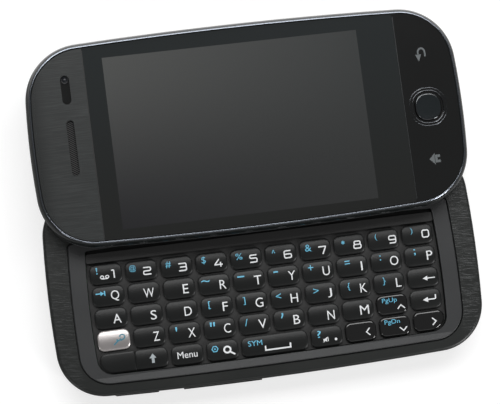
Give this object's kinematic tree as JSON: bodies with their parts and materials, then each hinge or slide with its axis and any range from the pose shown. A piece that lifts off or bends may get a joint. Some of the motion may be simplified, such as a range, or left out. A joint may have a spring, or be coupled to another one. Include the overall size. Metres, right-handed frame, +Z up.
{
  "type": "slider phone with a pull-out keyboard",
  "caption": "Touch-screen phone whose display half slides sideways off a keyboard half with pressable keys.",
  "frame": {"origin": "centre of the keyboard half's flat back, on the surface the phone lies on", "axes": "+Z up out of the keys and the screen, +X along the long side with the earpiece end at -X, +Y the way the display half slides open"},
  "size_m": [0.109, 0.0891, 0.0159],
  "materials": {
    "case_plastic": "satin",
    "frame_plastic": "satin",
    "mat_rubber": "matte",
    "circuit_board": "satin",
    "battery_pack": "satin",
    "module_plastic": "matte",
    "window_glass": "polished",
    "steel": "brushed",
    "side_key_plastic": "gloss",
    "bezel_plastic": "dark chrome",
    "display_glass": "polished",
    "panel_plastic": "brushed, dark",
    "gloss_panel_plastic": "gloss",
    "cable_film": "satin",
    "key_plastic": "satin",
    "gloss_key_plastic": "gloss"
  },
  "bodies": {
    "keyboard_half": {"rear_case": "case_plastic", "top_deck": "case_plastic", "keypad_frame": "frame_plastic", "key_mat": "mat_rubber", "main_board": "circuit_board", "battery": "battery_pack", "camera_module": "module_plastic", "camera_window": "window_glass", "loudspeaker": "module_plastic", "vibration_motor": "steel", "usb_port": "steel", "headset_jack": "module_plastic", "slide_base": "steel", "case_screws": "steel"},
    "display_half": {"slide_carriage": "steel", "display_back": "case_plastic", "display_bezel": "bezel_plastic", "touch_window": "window_glass", "lcd_module": "display_glass", "earpiece_panel": "panel_plastic", "earpiece": "module_plastic", "navigation_panel": "gloss_panel_plastic", "navigation_ring": "bezel_plastic", "assist_springs": "steel", "flex_cable": "cable_film"},
    "battery_cover": {"battery_cover": "case_plastic"},
    "usb_door": {"usb_door": "case_plastic"},
    "volume_rocker": {"volume_rocker": "side_key_plastic"},
    "camera_key": {"camera_key": "side_key_plastic"},
    "power_key": {"power_key": "side_key_plastic"},
    "ok_button": {"ok_button": "gloss_panel_plastic"},
    "key_a": {"key_a": "key_plastic"},
    "key_b": {"key_b": "key_plastic"},
    "key_c": {"key_c": "key_plastic"},
    "key_d": {"key_d": "key_plastic"},
    "key_e": {"key_e": "key_plastic"},
    "key_f": {"key_f": "key_plastic"},
    "key_g": {"key_g": "key_plastic"},
    "key_h": {"key_h": "key_plastic"},
    "key_i": {"key_i": "key_plastic"},
    "key_j": {"key_j": "key_plastic"},
    "key_k": {"key_k": "key_plastic"},
    "key_l": {"key_l": "key_plastic"},
    "key_m": {"key_m": "key_plastic"},
    "key_n": {"key_n": "key_plastic"},
    "key_o": {"key_o": "key_plastic"},
    "key_p": {"key_p": "key_plastic"},
    "key_q": {"key_q": "key_plastic"},
    "key_r": {"key_r": "key_plastic"},
    "key_s": {"key_s": "key_plastic"},
    "key_t": {"key_t": "key_plastic"},
    "key_u": {"key_u": "key_plastic"},
    "key_v": {"key_v": "key_plastic"},
    "key_w": {"key_w": "key_plastic"},
    "key_x": {"key_x": "key_plastic"},
    "key_y": {"key_y": "key_plastic"},
    "key_z": {"key_z": "key_plastic"},
    "number_keys": {"number_keys": "key_plastic"},
    "command_keys": {"command_keys": "key_plastic"},
    "arrow_keys": {"arrow_keys": "gloss_key_plastic"}
  },
  "joints": [
    {"name": "battery_cover_slide", "type": "slide", "parent": "keyboard_half", "child": "battery_cover", "axis": [1, 0, 0], "range_m": [0, 0.014]},
    {"name": "button_camera_press", "type": "slide", "parent": "keyboard_half", "child": "camera_key", "axis": [0, 1, 0], "range_m": [-0.0003, 0], "stiffness_N_per_m": 120},
    {"name": "button_ok_press", "type": "slide", "parent": "display_half", "child": "ok_button", "axis": [0, 0, 1], "range_m": [-0.0003, 0], "stiffness_N_per_m": 120},
    {"name": "button_power_press", "type": "slide", "parent": "keyboard_half", "child": "power_key", "axis": [0, 1, 0], "range_m": [-0.0003, 0], "stiffness_N_per_m": 120},
    {"name": "button_volume_tilt", "type": "hinge", "parent": "keyboard_half", "child": "volume_rocker", "pos_m": [-0.01385, -0.02456, 0.00395], "axis": [0, 0, 1], "range_deg": [-1.6, 1.6], "stiffness_Nm_per_rad": 0.006},
    {"name": "display_slide", "type": "slide", "parent": "keyboard_half", "child": "display_half", "axis": [0, 1, 0], "range_m": [-0.03578, 0], "deforming": ["assist_springs", "flex_cable"]},
    {"name": "door_usb_swing", "type": "hinge", "parent": "keyboard_half", "child": "usb_door", "pos_m": [-0.04045, -0.02575, 0.0042], "axis": [0, 0, 1], "range_deg": [-95, 0]},
    {"name": "key_a_press", "type": "slide", "parent": "keyboard_half", "child": "key_a", "axis": [0, 0, 1], "range_m": [-0.0003, 0], "stiffness_N_per_m": 120},
    {"name": "key_b_press", "type": "slide", "parent": "keyboard_half", "child": "key_b", "axis": [0, 0, 1], "range_m": [-0.0003, 0], "stiffness_N_per_m": 120},
    {"name": "key_c_press", "type": "slide", "parent": "keyboard_half", "child": "key_c", "axis": [0, 0, 1], "range_m": [-0.0003, 0], "stiffness_N_per_m": 120},
    {"name": "key_d_press", "type": "slide", "parent": "keyboard_half", "child": "key_d", "axis": [0, 0, 1], "range_m": [-0.0003, 0], "stiffness_N_per_m": 120},
    {"name": "key_e_press", "type": "slide", "parent": "keyboard_half", "child": "key_e", "axis": [0, 0, 1], "range_m": [-0.0003, 0], "stiffness_N_per_m": 120},
    {"name": "key_f_press", "type": "slide", "parent": "keyboard_half", "child": "key_f", "axis": [0, 0, 1], "range_m": [-0.0003, 0], "stiffness_N_per_m": 120},
    {"name": "key_g_press", "type": "slide", "parent": "keyboard_half", "child": "key_g", "axis": [0, 0, 1], "range_m": [-0.0003, 0], "stiffness_N_per_m": 120},
    {"name": "key_h_press", "type": "slide", "parent": "keyboard_half", "child": "key_h", "axis": [0, 0, 1], "range_m": [-0.0003, 0], "stiffness_N_per_m": 120},
    {"name": "key_i_press", "type": "slide", "parent": "keyboard_half", "child": "key_i", "axis": [0, 0, 1], "range_m": [-0.0003, 0], "stiffness_N_per_m": 120},
    {"name": "key_j_press", "type": "slide", "parent": "keyboard_half", "child": "key_j", "axis": [0, 0, 1], "range_m": [-0.0003, 0], "stiffness_N_per_m": 120},
    {"name": "key_k_press", "type": "slide", "parent": "keyboard_half", "child": "key_k", "axis": [0, 0, 1], "range_m": [-0.0003, 0], "stiffness_N_per_m": 120},
    {"name": "key_l_press", "type": "slide", "parent": "keyboard_half", "child": "key_l", "axis": [0, 0, 1], "range_m": [-0.0003, 0], "stiffness_N_per_m": 120},
    {"name": "key_m_press", "type": "slide", "parent": "keyboard_half", "child": "key_m", "axis": [0, 0, 1], "range_m": [-0.0003, 0], "stiffness_N_per_m": 120},
    {"name": "key_n_press", "type": "slide", "parent": "keyboard_half", "child": "key_n", "axis": [0, 0, 1], "range_m": [-0.0003, 0], "stiffness_N_per_m": 120},
    {"name": "key_o_press", "type": "slide", "parent": "keyboard_half", "child": "key_o", "axis": [0, 0, 1], "range_m": [-0.0003, 0], "stiffness_N_per_m": 120},
    {"name": "key_p_press", "type": "slide", "parent": "keyboard_half", "child": "key_p", "axis": [0, 0, 1], "range_m": [-0.0003, 0], "stiffness_N_per_m": 120},
    {"name": "key_q_press", "type": "slide", "parent": "keyboard_half", "child": "key_q", "axis": [0, 0, 1], "range_m": [-0.0003, 0], "stiffness_N_per_m": 120},
    {"name": "key_r_press", "type": "slide", "parent": "keyboard_half", "child": "key_r", "axis": [0, 0, 1], "range_m": [-0.0003, 0], "stiffness_N_per_m": 120},
    {"name": "key_s_press", "type": "slide", "parent": "keyboard_half", "child": "key_s", "axis": [0, 0, 1], "range_m": [-0.0003, 0], "stiffness_N_per_m": 120},
    {"name": "key_t_press", "type": "slide", "parent": "keyboard_half", "child": "key_t", "axis": [0, 0, 1], "range_m": [-0.0003, 0], "stiffness_N_per_m": 120},
    {"name": "key_u_press", "type": "slide", "parent": "keyboard_half", "child": "key_u", "axis": [0, 0, 1], "range_m": [-0.0003, 0], "stiffness_N_per_m": 120},
    {"name": "key_v_press", "type": "slide", "parent": "keyboard_half", "child": "key_v", "axis": [0, 0, 1], "range_m": [-0.0003, 0], "stiffness_N_per_m": 120},
    {"name": "key_w_press", "type": "slide", "parent": "keyboard_half", "child": "key_w", "axis": [0, 0, 1], "range_m": [-0.0003, 0], "stiffness_N_per_m": 120},
    {"name": "key_x_press", "type": "slide", "parent": "keyboard_half", "child": "key_x", "axis": [0, 0, 1], "range_m": [-0.0003, 0], "stiffness_N_per_m": 120},
    {"name": "key_y_press", "type": "slide", "parent": "keyboard_half", "child": "key_y", "axis": [0, 0, 1], "range_m": [-0.0003, 0], "stiffness_N_per_m": 120},
    {"name": "key_z_press", "type": "slide", "parent": "keyboard_half", "child": "key_z", "axis": [0, 0, 1], "range_m": [-0.0003, 0], "stiffness_N_per_m": 120},
    {"name": "key_group_number_press", "type": "slide", "parent": "keyboard_half", "child": "number_keys", "axis": [0, 0, 1], "range_m": [-0.0003, 0], "stiffness_N_per_m": 120},
    {"name": "key_group_command_press", "type": "slide", "parent": "keyboard_half", "child": "command_keys", "axis": [0, 0, 1], "range_m": [-0.0003, 0], "stiffness_N_per_m": 120},
    {"name": "key_group_arrow_press", "type": "slide", "parent": "keyboard_half", "child": "arrow_keys", "axis": [0, 0, 1], "range_m": [-0.0003, 0], "stiffness_N_per_m": 120}
  ]
}
